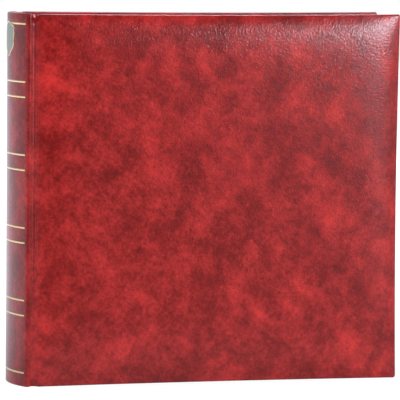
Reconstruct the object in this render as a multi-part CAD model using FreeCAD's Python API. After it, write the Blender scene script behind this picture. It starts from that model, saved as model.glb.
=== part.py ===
# A padded ring-binder stamp album, closed and standing upright.
# The spine is at -X, the fore-edge at +X, and the front cover faces -Y.
# The origin is on the floor, under the middle of the album's box.
import FreeCAD, Part
import math
import os

# Case: covers and spine, in millimetres
EDGE_THICKNESS = 68.0
HEAD_SQUARE = 7.0
FORE_SQUARE = 10.0
SKIN = 0.5
BOARD = 2.5
TURN_IN = 18.0
LINING = 0.3
LINING_MARGIN = 8.0
JOINT_WIDTH = 5.2
JOINT_SINK = 0.6
JOINT_HOLLOW = 1.2
JOINT_CLOTH = 0.7

# Padding: crown of the covers and rounding of the spine
CROWN = 3.5
CROWN_ROLL = 24.0
CROWN_STEPS = (0.0, 0.22, 0.55, 1.0)
FORE_BOW = 1.6
END_BOW = 0.7
COVER_CORNER = 2.0
CORNER_GROWTH = 0.4
SPINE_BULGE = 8.5
SPINE_SHOULDER = 2.5

# Leaves: standard punched album leaves, in groups that turn together
LEAF_WIDTH = 271.0
LEAF_HEIGHT = 296.0
LEAF_SHEET = 0.4
LEAVES_PER_GROUP = 2
GROUPS_PER_SIDE = 5
GROUP_PITCH = 2.9
LEAF_PITCH = 1.45
HOLE_DIAMETER = 6.0
HOLE_MARGIN = 9.0
HOLE_SIDES = 6
TAB_WIDTH = 17.8
LINEN = 0.2
FOLD_BEFORE = 3.2
FOLD_AFTER = 1.5
MOUNT_SHEET = 0.2
MOUNT_WIDTH = 48.0
MOUNT_HEIGHT = 40.0
MOUNT_COLUMNS = 3
MOUNT_ROWS = 4
MOUNT_SIDE_ROOM = 26.25
MOUNT_FOOT_ROOM = 28.0
MOUNT_HEAD_ROOM = 48.0

# Ring mechanism
RING_COUNT = 4
WIRE = 3.0
WIRE_SIDES = 6
RING_REACH = 50.0
RING_HALF_WIDTH = 21.5
RING_TIP_GAP = 0.1
FOOT_Y = 5.5
FOOT_RISE = 14.0
FLARE_RISE = 22.0
RING_BENDS = (6.0, 8.0, 10.0)
HOUSING_END_ROOM = 15.0
RING_END_ROOM = 20.0
RIVET_END_ROOM = 40.0
HOUSING_HALF_WIDTH = 12.2
HOUSING_SHEET = 1.0
HOUSING_SHOULDER = 3.0
HOUSING_CREST = 5.6
HOUSING_LIP = 1.5
HOUSING_LIP_SHEET = 0.8
BLADE = 1.2
BLADE_LIFT = 1.4
BLADE_CLEARANCE = 0.3
BLADE_GAP = 0.3
SLOT_WIDTH = 4.4
SLOT_OFFSET = 0.3
SLOT_HEIGHT = 3.8
LEVER_HUB = 1.6
LEVER_PIN = 0.9
PIN_CLEARANCE = 0.1
PIN_OVERHANG = 0.8
LEVER_AXIS_RISE = 1.8
LEVER_INSET = 3.0
LEVER_SHEET = 1.4
LEVER_WIDTH = 16.0
LEVER_REACH = 19.0
LEVER_CURL = 4.0
NOSE_LENGTH = 3.0
NOSE_SHEET = 0.8
NOSE_WIDTH = 5.0
NOSE_LIFT = 0.3
RIVET_SHANK = 2.0
RIVET_HEAD = 3.6
RIVET_HEAD_RISE = 1.0
SPACER = 3.2
SPACER_CLEARANCE = 0.2
SPACER_SIDES = 12
RIVET_ROOM = 0.6

# Sizes and places that follow from the sizes above
ALBUM_HEIGHT = LEAF_HEIGHT + 2 * HEAD_SQUARE
COVER_REACH = RING_REACH - HOLE_MARGIN + LEAF_WIDTH + FORE_SQUARE
HOUSING_LENGTH = ALBUM_HEIGHT - 2 * HOUSING_END_ROOM
RING_PITCH = (HOUSING_LENGTH - 2 * RING_END_ROOM) / (RING_COUNT - 1)
RIVET_SPAN = HOUSING_LENGTH - 2 * RIVET_END_ROOM
PAGE_WIDTH = LEAF_WIDTH - TAB_WIDTH - FOLD_BEFORE - FOLD_AFTER
MOUNT_STEP_X = (PAGE_WIDTH - 2 * MOUNT_SIDE_ROOM - MOUNT_WIDTH) / (MOUNT_COLUMNS - 1)
MOUNT_STEP_Z = (LEAF_HEIGHT - MOUNT_FOOT_ROOM - MOUNT_HEAD_ROOM - MOUNT_HEIGHT) / (MOUNT_ROWS - 1)
SPINE_RISE = SPINE_BULGE + SKIN
X_SHOULDER = -(COVER_REACH - SPINE_RISE) / 2
X_SPINE_INSIDE = X_SHOULDER + BOARD + SKIN
X_COVER = X_SPINE_INSIDE + JOINT_WIDTH
X_FORE_EDGE = X_SHOULDER + COVER_REACH
Y_EDGE = EDGE_THICKNESS / 2
Y_COVER_INSIDE = Y_EDGE - BOARD - 2 * SKIN
Z_MIDDLE = ALBUM_HEIGHT / 2
X_RING = X_SHOULDER + RING_REACH
X_LEAF = X_RING - HOLE_MARGIN
X_FOLD = X_LEAF + TAB_WIDTH + FOLD_BEFORE
X_BLADE = X_SPINE_INSIDE + BLADE_LIFT
X_LEVER_AXIS = X_SPINE_INSIDE + LEVER_AXIS_RISE
X_PAGE = X_FOLD + FOLD_AFTER
Z_LEAF = HEAD_SQUARE
Z_HOUSING = HOUSING_END_ROOM
Z_LEVER_AXIS = ALBUM_HEIGHT - Z_HOUSING - LEVER_INSET
RING_HEIGHTS = [Z_MIDDLE + (index - (RING_COUNT - 1) / 2) * RING_PITCH for index in range(RING_COUNT)]
RIVET_HEIGHTS = [Z_MIDDLE - RIVET_SPAN / 2, Z_MIDDLE + RIVET_SPAN / 2]
LEAF_OFFSETS = [(index - (LEAVES_PER_GROUP - 1) / 2) * LEAF_PITCH for index in range(LEAVES_PER_GROUP)]
GROUP_COUNT = 2 * GROUPS_PER_SIDE

X_AXIS = FreeCAD.Vector(1, 0, 0)
Y_AXIS = FreeCAD.Vector(0, 1, 0)
Z_AXIS = FreeCAD.Vector(0, 0, 1)


def vector(x, y, z):
    return FreeCAD.Vector(x, y, z)


def line(start, end):
    return Part.LineSegment(start, end).toShape()


def arc(start, middle, end):
    return Part.Arc(start, middle, end).toShape()


def box(x_range, y_range, z_range):
    low = vector(x_range[0], y_range[0], z_range[0])
    size = [high - start for start, high in (x_range, y_range, z_range)]
    return Part.makeBox(size[0], size[1], size[2], low)


def centred(middle, width):
    return (middle - width / 2, middle + width / 2)


def upright(edges, z_range):
    """A closed outline in plan, raised from its own level over the range."""
    face = Part.Face(Part.Wire(edges))
    face.translate(vector(0, 0, z_range[0]))
    return face.extrude(vector(0, 0, z_range[1] - z_range[0]))


def front_to_back(shape):
    return shape.mirror(vector(0, 0, 0), Y_AXIS)


def top_to_bottom(shape):
    return shape.mirror(vector(0, 0, Z_MIDDLE), Z_AXIS)


def save(name, shape):
    shape.exportStep(os.path.join("parts", name + ".step"))


def cover_outline(inset, y):
    """Edge of a front cover: head, tail and fore-edge are drawn in by the stretched skin."""
    left = X_COVER + inset
    right = X_FORE_EDGE - inset
    low = inset
    high = ALBUM_HEIGHT - inset
    radius = COVER_CORNER + CORNER_GROWTH * inset
    short = radius * (1 - math.sqrt(0.5))
    middle = (left + right) / 2

    def at(x, z):
        return vector(x, y, z)

    return Part.Wire([
        arc(at(left + radius, low), at(middle, low + END_BOW), at(right - radius, low)),
        arc(at(right - radius, low), at(right - short, low + short), at(right, low + radius)),
        arc(at(right, low + radius), at(right - FORE_BOW, Z_MIDDLE), at(right, high - radius)),
        arc(at(right, high - radius), at(right - short, high - short), at(right - radius, high)),
        arc(at(right - radius, high), at(middle, high - END_BOW), at(left + radius, high)),
        arc(at(left + radius, high), at(left + short, high - short), at(left, high - radius)),
        line(at(left, high - radius), at(left, low + radius)),
        arc(at(left, low + radius), at(left + short, low + short), at(left + radius, low)),
    ])


def crown(inset, y):
    """Pillow on the outside of a front cover, rising from the given inset and level."""
    sections = []
    for step in CROWN_STEPS:
        rise = CROWN * (1 - (1 - step) ** 3)
        sections.append(cover_outline(inset + CROWN_ROLL * step, y - rise))
    return Part.makeLoft(sections, True, True)


def cover_parts():
    """Board, padding, skin and lining of the front cover."""
    outside = -Y_EDGE
    inside = -Y_COVER_INSIDE
    board_face = Part.Face(cover_outline(SKIN, inside - SKIN))
    board = board_face.extrude(vector(0, -BOARD, 0))
    padding = crown(2 * SKIN, outside + SKIN)
    band = Part.makeLoft([
        cover_outline(SKIN, inside),
        cover_outline(0, inside - SKIN),
        cover_outline(0, outside + SKIN),
        cover_outline(SKIN, outside),
    ], True, True)
    window = box((X_COVER + TURN_IN, X_FORE_EDGE - TURN_IN), (inside - SKIN, inside),
                 (TURN_IN, ALBUM_HEIGHT - TURN_IN))
    skin = band.fuse(crown(SKIN, outside)).cut(board).cut(padding).cut(window)
    sheet = box((X_COVER + LINING_MARGIN, X_FORE_EDGE - LINING_MARGIN), (inside, inside + LINING),
                (LINING_MARGIN, ALBUM_HEIGHT - LINING_MARGIN))
    return {"board": board, "padding": padding, "skin": skin, "lining": window.fuse(sheet).removeSplitter()}


def spine_block(half_width, bulge, x_flat, x_inside, shoulder, z_range):
    """Rounded spine in plan: a flat inside, softened shoulders and a shallow arc outside."""
    near = vector(x_flat, -half_width, 0)
    far = vector(x_flat, half_width, 0)
    crest = vector(x_flat - bulge, 0, 0)
    inside_near = vector(x_inside, -half_width, 0)
    inside_far = vector(x_inside, half_width, 0)
    block = upright([
        line(inside_near, near),
        arc(near, crest, far),
        line(far, inside_far),
        line(inside_far, inside_near),
    ], z_range)
    corners = []
    for edge in block.Edges:
        ends = [vertex.Point for vertex in edge.Vertexes]
        if abs(ends[0].z - ends[1].z) > ALBUM_HEIGHT / 2 and abs(ends[0].x - x_flat) < SKIN / 2:
            corners.append(edge)
    return block.makeFillet(shoulder, corners)


def rivet_cylinder(radius, x_range, z):
    return Part.makeCylinder(radius, x_range[1] - x_range[0], vector(x_range[0], 0, z), X_AXIS)


def spine_parts():
    """Board, padding, skin and lining of the spine, drilled for the mechanism's rivets."""
    full_height = (0, ALBUM_HEIGHT)
    core_height = (SKIN, ALBUM_HEIGHT - SKIN)
    half_core = Y_EDGE - SKIN
    outer = spine_block(Y_EDGE, SPINE_BULGE, X_SHOULDER - SKIN, X_SPINE_INSIDE, SPINE_SHOULDER, full_height)
    x_board_inside = X_SPINE_INSIDE - SKIN
    core = spine_block(half_core, SPINE_BULGE, X_SHOULDER, x_board_inside, SPINE_SHOULDER - SKIN, core_height)
    board_room = box((X_SHOULDER, x_board_inside), (-half_core, half_core), core_height)
    lining = box((x_board_inside, X_SPINE_INSIDE), (TURN_IN - Y_EDGE, Y_EDGE - TURN_IN),
                 (TURN_IN, ALBUM_HEIGHT - TURN_IN))
    skin = outer.cut(core).cut(lining)
    board = core.common(board_room)
    padding = core.cut(board_room)
    for z in RIVET_HEIGHTS:
        shank = rivet_cylinder(RIVET_SHANK, (X_SHOULDER, X_SPINE_INSIDE), z)
        board = board.cut(shank)
        lining = lining.cut(shank)
        padding = padding.cut(rivet_cylinder(RIVET_HEAD, (X_SHOULDER - RIVET_HEAD_RISE, X_SHOULDER), z))
    return {"board": board, "padding": padding, "skin": skin, "lining": lining}


def joint_strip():
    """Flexible hinge of the front cover: a shallow trough of doubled leatherette."""
    x_middle = (X_SPINE_INSIDE + X_COVER) / 2
    y_outer = JOINT_SINK - Y_EDGE
    y_inner = y_outer + JOINT_CLOTH
    outer_start = vector(X_SPINE_INSIDE, y_outer, 0)
    outer_end = vector(X_COVER, y_outer, 0)
    inner_start = vector(X_SPINE_INSIDE, y_inner, 0)
    inner_end = vector(X_COVER, y_inner, 0)
    return upright([
        arc(outer_start, vector(x_middle, y_outer + JOINT_HOLLOW, 0), outer_end),
        line(outer_end, inner_end),
        arc(inner_end, vector(x_middle, y_inner + JOINT_HOLLOW, 0), inner_start),
        line(inner_start, outer_start),
    ], (SKIN, ALBUM_HEIGHT - SKIN))


def ring_housing():
    """Arched steel channel over the blades, slotted for the rings and open at the levers."""
    base = X_SPINE_INSIDE
    outer = HOUSING_HALF_WIDTH
    inner = outer - HOUSING_SHEET
    shoulder = base + HOUSING_SHOULDER
    crest = base + HOUSING_CREST
    channel = upright([
        line(vector(base, -outer, 0), vector(shoulder, -outer, 0)),
        arc(vector(shoulder, -outer, 0), vector(crest, 0, 0), vector(shoulder, outer, 0)),
        line(vector(shoulder, outer, 0), vector(base, outer, 0)),
        line(vector(base, outer, 0), vector(base, inner, 0)),
        line(vector(base, inner, 0), vector(shoulder, inner, 0)),
        arc(vector(shoulder, inner, 0), vector(crest - HOUSING_SHEET, 0, 0), vector(shoulder, -inner, 0)),
        line(vector(shoulder, -inner, 0), vector(base, -inner, 0)),
        line(vector(base, -inner, 0), vector(base, -outer, 0)),
    ], (Z_HOUSING, ALBUM_HEIGHT - Z_HOUSING))
    lever_room = 2 * LEVER_INSET
    lip = box((base, base + HOUSING_LIP_SHEET), (inner - HOUSING_LIP, inner),
              (Z_HOUSING + lever_room, ALBUM_HEIGHT - Z_HOUSING - lever_room))
    channel = channel.fuse([lip, front_to_back(lip)])
    window = box((base, crest), (-inner, inner), (ALBUM_HEIGHT - Z_HOUSING - lever_room, ALBUM_HEIGHT - Z_HOUSING))
    openings = [window, top_to_bottom(window)]
    for z in RING_HEIGHTS:
        slot = box((base + BLADE_LIFT + BLADE, crest), centred(FOOT_Y + SLOT_OFFSET, SLOT_WIDTH),
                   centred(z, SLOT_HEIGHT))
        openings += [slot, front_to_back(slot)]
    for z in RIVET_HEIGHTS:
        openings.append(rivet_cylinder(RIVET_SHANK, (base, crest), z))
    for pin in lever_pins():
        openings.append(pin)
    return channel.cut(openings).removeSplitter()


def blade():
    """Front toggle plate, cut clear of the rivets' spacers."""
    outer = HOUSING_HALF_WIDTH - HOUSING_SHEET - BLADE_CLEARANCE
    top = Z_LEVER_AXIS - LEVER_HUB - BLADE_CLEARANCE
    plate = box((X_BLADE, X_BLADE + BLADE), (-outer, -BLADE_GAP / 2), (ALBUM_HEIGHT - top, top))
    for z in RIVET_HEIGHTS:
        plate = plate.cut(rivet_cylinder(SPACER + RIVET_ROOM, (X_BLADE, X_BLADE + BLADE), z))
    return plate


def many_sided(centre, across_flats, sides, first, second):
    """Closed outline with flat sides, round the centre in the plane of the two directions."""
    radius = across_flats / 2 / math.cos(math.pi / sides)
    corners = []
    for index in range(sides):
        turn = (index + 0.5) * 2 * math.pi / sides
        corners.append(centre + first * (radius * math.cos(turn)) + second * (radius * math.sin(turn)))
    return Part.makePolygon(corners + corners[:1])


def rounded_path(points, radii):
    """Straight runs through the points, with a tangent arc of the given radius at each bend."""
    edges = []
    start = points[0]
    for index, radius in enumerate(radii):
        corner = points[index + 1]
        before = (points[index] - corner).normalize()
        after = (points[index + 2] - corner).normalize()
        half_turn = (math.pi - before.getAngle(after)) / 2
        reach = radius * math.tan(half_turn)
        bisector = (before + after).normalize()
        depth = radius / math.cos(half_turn) - radius
        edges.append(line(start, corner + before * reach))
        edges.append(arc(corner + before * reach, corner + bisector * depth, corner + after * reach))
        start = corner + after * reach
    edges.append(line(start, points[-1]))
    return Part.Wire(edges)


def half_ring(z):
    """Front half of one arched ring, from its foot on the blade to its tip."""
    points = [
        vector(X_BLADE + BLADE, -FOOT_Y, z),
        vector(X_SHOULDER + FOOT_RISE, -FOOT_Y, z),
        vector(X_SHOULDER + FLARE_RISE, -RING_HALF_WIDTH, z),
        vector(X_RING, -RING_HALF_WIDTH, z),
        vector(X_RING, -RING_TIP_GAP / 2, z),
    ]
    section = many_sided(points[0], WIRE, WIRE_SIDES, Y_AXIS, Z_AXIS)
    return rounded_path(points, RING_BENDS).makePipeShell([section], True, False)


def lever():
    """Upper opening lever: a hub on its pin, a thumb plate and a nose under the blades."""
    half_hub = HOUSING_HALF_WIDTH - HOUSING_SHEET - BLADE_CLEARANCE
    axis = vector(X_LEVER_AXIS, -half_hub, Z_LEVER_AXIS)
    hub = Part.makeCylinder(LEVER_HUB, 2 * half_hub, axis, Y_AXIS)
    root = X_LEVER_AXIS
    bend = root + LEVER_REACH
    back = Z_LEVER_AXIS
    front = back + LEVER_SHEET
    corners = [
        vector(root, -LEVER_WIDTH / 2, back),
        vector(bend, -LEVER_WIDTH / 2, back),
        vector(bend + LEVER_CURL, -LEVER_WIDTH / 2, back + LEVER_CURL),
        vector(bend + LEVER_CURL - LEVER_SHEET, -LEVER_WIDTH / 2, front + LEVER_CURL),
        vector(bend - LEVER_SHEET / 2, -LEVER_WIDTH / 2, front),
        vector(root, -LEVER_WIDTH / 2, front),
    ]
    plate = Part.Face(Part.makePolygon(corners + corners[:1])).extrude(vector(0, LEVER_WIDTH, 0))
    x_nose = X_SPINE_INSIDE + NOSE_LIFT
    nose = box((x_nose, x_nose + NOSE_SHEET), centred(0, NOSE_WIDTH), (back - NOSE_LENGTH, back))
    bore = Part.makeCylinder(LEVER_PIN + PIN_CLEARANCE, 2 * half_hub, axis, Y_AXIS)
    return hub.fuse([plate, nose]).cut(bore).removeSplitter()


def lever_pins():
    half_pin = HOUSING_HALF_WIDTH + PIN_OVERHANG
    start = vector(X_LEVER_AXIS, -half_pin, Z_LEVER_AXIS)
    pin = Part.makeCylinder(LEVER_PIN, 2 * half_pin, start, Y_AXIS)
    return [pin, top_to_bottom(pin)]


def rivet(z):
    """One rivet, from its hidden head under the spine's padding to the head on the housing."""
    crest = X_SPINE_INSIDE + HOUSING_CREST
    hidden_head = rivet_cylinder(RIVET_HEAD, (X_SHOULDER - RIVET_HEAD_RISE, X_SHOULDER), z)
    shank = rivet_cylinder(RIVET_SHANK, (X_SHOULDER, crest), z)
    head = rivet_cylinder(RIVET_HEAD, (crest, crest + RIVET_HEAD_RISE), z)
    return hidden_head.fuse([shank, head]).removeSplitter()


def rivet_spacer(z):
    inside_crest = X_SPINE_INSIDE + HOUSING_CREST - HOUSING_SHEET - SPACER_CLEARANCE
    rim = many_sided(vector(X_SPINE_INSIDE, 0, z), 2 * SPACER, SPACER_SIDES, Y_AXIS, Z_AXIS)
    sleeve = Part.Face(rim).extrude(vector(inside_crest - X_SPINE_INSIDE, 0, 0))
    return sleeve.cut(rivet_cylinder(RIVET_SHANK, (X_SPINE_INSIDE, inside_crest), z))


def group_middle(group):
    """Depth of a leaf group's middle leaf, counted from the front cover."""
    return (group - (GROUP_COUNT - 1) / 2) * GROUP_PITCH


def leaf_depths(group):
    return [group_middle(group) + offset for offset in LEAF_OFFSETS]


def leaf_heights():
    return (Z_LEAF, Z_LEAF + LEAF_HEIGHT)


def leaf_tab(y):
    """Punched binding edge of one leaf, held on the rings."""
    tab = box((X_LEAF, X_LEAF + TAB_WIDTH), centred(y, LEAF_SHEET), leaf_heights())
    start = y - LEAF_SHEET / 2
    holes = []
    for z in RING_HEIGHTS:
        rim = many_sided(vector(X_RING, start, z), HOLE_DIAMETER, HOLE_SIDES, X_AXIS, Z_AXIS)
        holes.append(Part.Face(rim).extrude(vector(0, LEAF_SHEET, 0)))
    return tab.cut(holes)


def leaf_page(y):
    """Turning part of one leaf."""
    return box((X_PAGE, X_PAGE + PAGE_WIDTH), centred(y, LEAF_SHEET), leaf_heights())


def linen_hinge(y):
    """Cloth strip between a leaf's binding edge and its page."""
    return box((X_LEAF + TAB_WIDTH, X_PAGE), centred(y, LINEN), leaf_heights())


def stamp_mounts(group):
    """Clear mounts on the first page of a leaf group, in rows and columns."""
    face = leaf_depths(group)[0] - LEAF_SHEET / 2
    page_middle = X_PAGE + PAGE_WIDTH / 2
    mounts = []
    for column in range(MOUNT_COLUMNS):
        x = page_middle + (column - (MOUNT_COLUMNS - 1) / 2) * MOUNT_STEP_X
        for row in range(MOUNT_ROWS):
            z = Z_LEAF + MOUNT_FOOT_ROOM + row * MOUNT_STEP_Z
            mounts.append(box(centred(x, MOUNT_WIDTH), (face - MOUNT_SHEET, face), (z, z + MOUNT_HEIGHT)))
    return Part.makeCompound(mounts)


os.makedirs("parts", exist_ok=True)

for piece, shape in cover_parts().items():
    save("front_" + piece, shape)
    save("back_" + piece, front_to_back(shape))

for piece, shape in spine_parts().items():
    save("spine_" + piece, shape)

save("front_joint", joint_strip())
save("back_joint", front_to_back(joint_strip()))

save("ring_housing", ring_housing())
save("front_blade", blade())
save("rear_blade", front_to_back(blade()))
front_half_rings = Part.makeCompound([half_ring(z) for z in RING_HEIGHTS])
save("front_half_rings", front_half_rings)
save("rear_half_rings", front_to_back(front_half_rings))
save("upper_lever", lever())
save("lower_lever", top_to_bottom(lever()))
save("lever_pins", Part.makeCompound(lever_pins()))
save("rivets", Part.makeCompound([rivet(z) for z in RIVET_HEIGHTS]))
save("rivet_spacers", Part.makeCompound([rivet_spacer(z) for z in RIVET_HEIGHTS]))

all_depths = [y for group in range(GROUP_COUNT) for y in leaf_depths(group)]
save("leaf_tabs", Part.makeCompound([leaf_tab(y) for y in all_depths]))
for group in range(GROUP_COUNT):
    number = "_%02d" % (group + 1)
    depths = leaf_depths(group)
    save("leaves" + number, Part.makeCompound([leaf_page(y) for y in depths]))
    save("linen_hinges" + number, Part.makeCompound([linen_hinge(y) for y in depths]))
    save("stamp_mounts" + number, stamp_mounts(group))
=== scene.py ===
import math

import bpy
from mathutils import Matrix, Vector


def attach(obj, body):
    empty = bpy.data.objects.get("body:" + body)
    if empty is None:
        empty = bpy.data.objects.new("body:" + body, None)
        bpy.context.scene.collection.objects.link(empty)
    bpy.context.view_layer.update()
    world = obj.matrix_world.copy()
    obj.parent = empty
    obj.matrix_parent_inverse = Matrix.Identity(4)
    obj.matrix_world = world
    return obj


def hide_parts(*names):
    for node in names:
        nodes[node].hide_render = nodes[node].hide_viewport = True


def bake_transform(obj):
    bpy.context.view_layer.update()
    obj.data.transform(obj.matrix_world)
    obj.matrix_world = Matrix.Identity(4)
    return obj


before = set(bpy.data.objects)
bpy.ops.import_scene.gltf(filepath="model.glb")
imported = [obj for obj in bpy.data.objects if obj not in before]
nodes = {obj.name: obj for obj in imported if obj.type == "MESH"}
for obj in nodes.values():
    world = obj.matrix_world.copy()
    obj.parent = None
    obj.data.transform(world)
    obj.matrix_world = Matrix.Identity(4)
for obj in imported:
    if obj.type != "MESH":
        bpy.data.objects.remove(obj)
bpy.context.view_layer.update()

# Binder's boards
# Three dense grey millboards stiffen the two covers and the spine.
# The foam, the leatherette and the linings are glued over them, so they are hidden in use.
MM = 0.001


def linear(code):
    """An sRGB hex colour as linear RGBA."""
    shares = [int(code[start:start + 2], 16) / 255 for start in (1, 3, 5)]
    return [c / 12.92 if c <= 0.04045 else ((c + 0.055) / 1.055) ** 2.4 for c in shares] + [1.0]


def feature(size):
    """Texture scale whose features are about that many millimetres."""
    return 1000 / size


def feed(tree, node, inputs):
    """Fills a node's inputs with plain values, or links them to the sockets that feed them."""
    for key, value in inputs.items():
        if isinstance(value, bpy.types.NodeSocket):
            tree.links.new(value, node.inputs[key])
        else:
            node.inputs[key].default_value = value


def add(tree, kind, inputs=None, stops=(), **settings):
    """Adds one node with its inputs and settings, and a ramp's (place, hex colour) stops."""
    node = tree.nodes.new(kind)
    for name, value in settings.items():
        setattr(node, name, value)
    feed(tree, node, inputs or {})
    if stops:
        elements = node.color_ramp.elements
        while len(elements) < len(stops):
            elements.new(1.0)
        for element, (place, code) in zip(elements, stops):
            element.position = place
            element.color = linear(code)
    return node


def new_material(name):
    """A material, its tree, its shader, and the place of a point on the piece."""
    material = bpy.data.materials.new(name)
    material.use_nodes = True
    tree = material.node_tree
    place = add(tree, "ShaderNodeTexCoord").outputs["Object"]
    return material, tree, tree.nodes["Principled BSDF"], place


def dress(names, material):
    """Gives the named solids the material."""
    for name in names:
        slots = nodes[name].data.materials
        slots.clear()
        slots.append(material)


# Pressed pulp: grey with paler and darker fibres about 2 mm long, dull all over
millboard, tree, surface, place = new_material("grey_millboard")
fibres = add(tree, "ShaderNodeTexNoise", {"Vector": place, "Scale": feature(2), "Detail": 4.0})
greys = add(tree, "ShaderNodeValToRGB", {"Fac": fibres.outputs["Fac"]}, stops=[
    (0.3, "#6f6b64"), (0.5, "#8b867d"), (0.7, "#a39d92")])
tooth = add(tree, "ShaderNodeBump", {"Height": fibres.outputs["Fac"], "Distance": 0.1 * MM})
feed(tree, surface, {
    "Base Color": greys.outputs["Color"], "Roughness": 0.9, "Normal": tooth.outputs["Normal"]})
dress(["front_board", "back_board", "spine_board"], millboard)

# Padded covers
# A foam sheet lies on the outside of each board, and marbled leatherette is stretched over both,
# glued down at the edges and turned in on the inside, so the cover swells to a pillow.
COVER_LEFT = -148.3
COVER_RIGHT = 165.5
COVER_HEIGHT = 310.0
COVER_INSIDE = 30.5
COVER_EDGE = 3.5
FORE_BOW = 1.6
END_BOW = 0.7
CORNER_RADIUS = 2.0
CORNER_GROWTH = 0.4
CROWN = 3.6
ROLL = 24.0
PANEL_INSET = 1.5
LEATHERETTE = 0.5
EDGE_STEPS = [0.0, 0.8, 1.8, 3.2, 5.0, 7.2, 9.8, 12.8, 16.2, 20.0, 24.2]
MIDDLE_STEP = 4.6
FOAM_PRESSURE = 4.0
SWELL_FRAMES = 20
SWELL_FULLNESS = 1.5
# How the leatherette runs from the panel, round the edge and in to its cut:
# (inset, height over the inside)
TURN_IN = [(0.75, 3.32), (0.25, 2.9), (0.0, 2.3), (0.0, 1.2), (0.2, 0.55), (0.7, 0.12), (1.6, 0.0),
           (5.0, 0.0), (11.0, 0.0), (18.0, 0.0)]
# Passes of the marbling rag: (slant in degrees, stretch, size of its dabs in mm, where on the print)
RAG_PASSES = [
    (35, 2.0, 24, (-1.040, -0.236, -0.322)), (-40, 2.0, 22, (-0.578, -0.636, -1.276)),
    (15, 1.6, 20, (-2.218, -1.036, -1.286)), (-65, 1.8, 18, (-0.760, -0.236, -1.690))]
RAG_INK = 0.53
FLECK_INK = 0.46
INK_BASE = 1.0


def marbled_leatherette():
    """Embossed PVC on paper, printed with dark clouds over red and finished with a semi-gloss lacquer."""
    material, tree, surface, place = new_material("red_marbled_PVC_leatherette")
    # Torn dabs of a rag in four passes, each drawn out along its own slant,
    # from about 50 mm down to a millimetre
    total = 0.0
    for slant, stretch, size, shift in RAG_PASSES:
        slanted = add(tree, "ShaderNodeMapping", {
            "Vector": place, "Location": shift, "Rotation": (0.0, math.radians(slant), 0.0),
            "Scale": (1.0, 1.0, stretch)}, vector_type="TEXTURE")
        dabs = add(tree, "ShaderNodeTexNoise", {
            "Vector": slanted.outputs["Vector"], "Scale": feature(size), "Detail": 5.0, "Roughness": 0.75})
        inked = add(tree, "ShaderNodeMath", {
            0: dabs.outputs["Fac"], 1: RAG_INK, 2: total}, operation="MULTIPLY_ADD")
        total = inked.outputs[0]
    # Flecks where the ink lay in the pores of the grain
    flecks = add(tree, "ShaderNodeTexNoise", {
        "Vector": place, "Scale": feature(2.6), "Detail": 3.0, "Roughness": 0.8})
    inked = add(tree, "ShaderNodeMath", {
        0: flecks.outputs["Fac"], 1: FLECK_INK, 2: total}, operation="MULTIPLY_ADD")
    level = add(tree, "ShaderNodeMath", {0: inked.outputs[0], 1: INK_BASE}, operation="SUBTRACT")
    reds = add(tree, "ShaderNodeValToRGB", {"Fac": level.outputs[0]}, stops=[
        (0.1, "#6c0806"), (0.2, "#7f100d"), (0.3, "#931b18"), (0.4, "#ac2420"), (0.52, "#c92c26")])
    # Leather-like pebbles of the embossing roller
    pebbles = add(tree, "ShaderNodeTexVoronoi", {
        "Vector": place, "Scale": feature(1.3), "Randomness": 0.9}, feature="SMOOTH_F1")
    grain = add(tree, "ShaderNodeBump", {"Height": pebbles.outputs["Distance"], "Distance": 0.14 * MM})
    feed(tree, surface, {
        "Base Color": reds.outputs["Color"], "Roughness": 0.2, "IOR": 1.48,
        "Normal": grain.outputs["Normal"]})
    return material


leatherette = marbled_leatherette()


def spread(length):
    """Places of the panel's grid lines across a length: close near both edges, even in the middle."""
    count = round((length - 2 * EDGE_STEPS[-1]) / MIDDLE_STEP)
    middle = [EDGE_STEPS[-1] + (length - 2 * EDGE_STEPS[-1]) * index / count for index in range(1, count)]
    return EDGE_STEPS + middle + [length - step for step in reversed(EDGE_STEPS)]


def on_cover(across, up, inset):
    """Point (x, z) of a cover's outline inset by that much, for shares from its left and from its foot."""
    bow_x = FORE_BOW * (1 - (2 * up - 1) ** 2)
    bow_z = END_BOW * (1 - (2 * across - 1) ** 2)
    width = COVER_RIGHT - COVER_LEFT - 2 * inset - bow_x
    height = COVER_HEIGHT - 2 * inset - 2 * bow_z
    radius = CORNER_RADIUS + CORNER_GROWTH * inset
    x = across * width
    z = up * height
    side = min(x, width - x)
    end = min(z, height - z)
    if side < radius and end < radius:
        beyond = Vector((radius - side, radius - end))
        beyond *= max(beyond) / beyond.length
        x = radius - beyond.x if x < width / 2 else width - radius + beyond.x
        z = radius - beyond.y if z < height / 2 else height - radius + beyond.y
    return COVER_LEFT + inset + x, inset + bow_z + z


def new_piece(name, vertices, faces, material):
    """A smooth piece at the origin, from points in millimetres."""
    mesh = bpy.data.meshes.new(name)
    mesh.from_pydata([Vector(point) * MM for point in vertices], [], faces)
    mesh.validate()
    mesh.polygons.foreach_set("use_smooth", [True] * len(mesh.polygons))
    mesh.materials.append(material)
    piece = bpy.data.objects.new(name, mesh)
    bpy.context.scene.collection.objects.link(piece)
    return piece


def thicken(piece, thickness, offset=-1.0):
    """Gives a sheet its thickness in millimetres, on its inner side unless the offset says otherwise."""
    wall = piece.modifiers.new("thickness", "SOLIDIFY")
    wall.thickness = thickness * MM
    wall.offset = offset


panel_columns = spread(COVER_RIGHT - COVER_LEFT - 2 * PANEL_INSET)
panel_rows = spread(COVER_HEIGHT - 2 * PANEL_INSET)
column_shares = [step / panel_columns[-1] for step in panel_columns]
row_shares = [step / panel_rows[-1] for step in panel_rows]
COLUMNS = len(panel_columns)
ROWS = len(panel_rows)


def grid_faces(columns, rows):
    """Four-sided faces between the points of a grid, which are numbered row by row."""
    return [(r * columns + c, r * columns + c + 1, (r + 1) * columns + c + 1, (r + 1) * columns + c)
            for r in range(rows - 1) for c in range(columns - 1)]


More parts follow.
